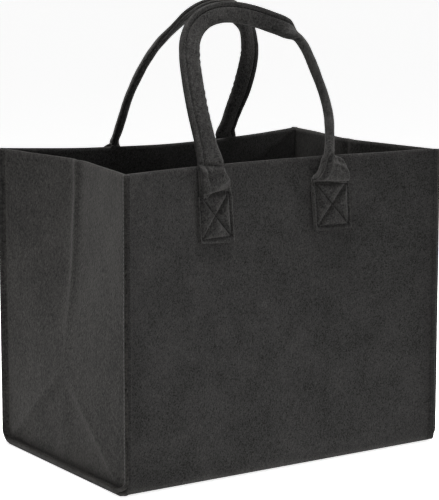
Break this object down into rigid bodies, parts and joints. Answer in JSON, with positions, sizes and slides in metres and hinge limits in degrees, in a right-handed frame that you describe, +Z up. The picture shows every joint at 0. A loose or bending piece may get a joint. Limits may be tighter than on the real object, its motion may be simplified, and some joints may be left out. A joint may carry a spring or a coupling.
{
  "type": "fabric storage bag",
  "caption": "Open-topped rectangular carrier bag of stiff needle-punched felt, with folded side gussets and stitched loop handles.",
  "frame": {"origin": "on the floor under the middle of the bag", "axes": "+Z up, front wall towards -Y, +X to the right seen from the front; the same after half a turn about Z"},
  "size_m": [0.352, 0.2454, 0.4323],
  "materials": {
    "wall_felt": "matte needle-punched felt",
    "side_felt": "matte needle-punched felt",
    "handle_felt": "matte needle-punched felt, folded and stitched",
    "sewing_thread": "twisted polyester thread",
    "filler_cord": "undyed cotton cord"
  },
  "bodies": {
    "bag": {"front_panel": "wall_felt", "bottom_panel": "wall_felt", "back_panel": "wall_felt", "left_side_panel": "side_felt", "right_side_panel": "side_felt", "left_seam_thread": "sewing_thread", "right_seam_thread": "sewing_thread", "front_left_handle_tab": "handle_felt", "front_right_handle_tab": "handle_felt", "back_left_handle_tab": "handle_felt", "back_right_handle_tab": "handle_felt", "front_left_tab_stitching": "sewing_thread", "front_right_tab_stitching": "sewing_thread", "back_left_tab_stitching": "sewing_thread", "back_right_tab_stitching": "sewing_thread"},
    "front_handle": {"front_handle_strap": "handle_felt", "front_handle_cord_core": "filler_cord", "front_handle_seam_thread": "sewing_thread"},
    "back_handle": {"back_handle_strap": "handle_felt", "back_handle_cord_core": "filler_cord", "back_handle_seam_thread": "sewing_thread"}
  },
  "joints": [
    {"name": "front_handle_swing", "type": "hinge", "parent": "bag", "child": "front_handle", "pos_m": [-0.003, -0.0999, 0.2925], "axis": [1, 0, 0], "range_deg": [-13, 196]},
    {"name": "back_handle_swing", "type": "hinge", "parent": "bag", "child": "back_handle", "pos_m": [0.003, 0.0999, 0.2925], "axis": [-1, 0, 0], "range_deg": [-13, 196]}
  ]
}
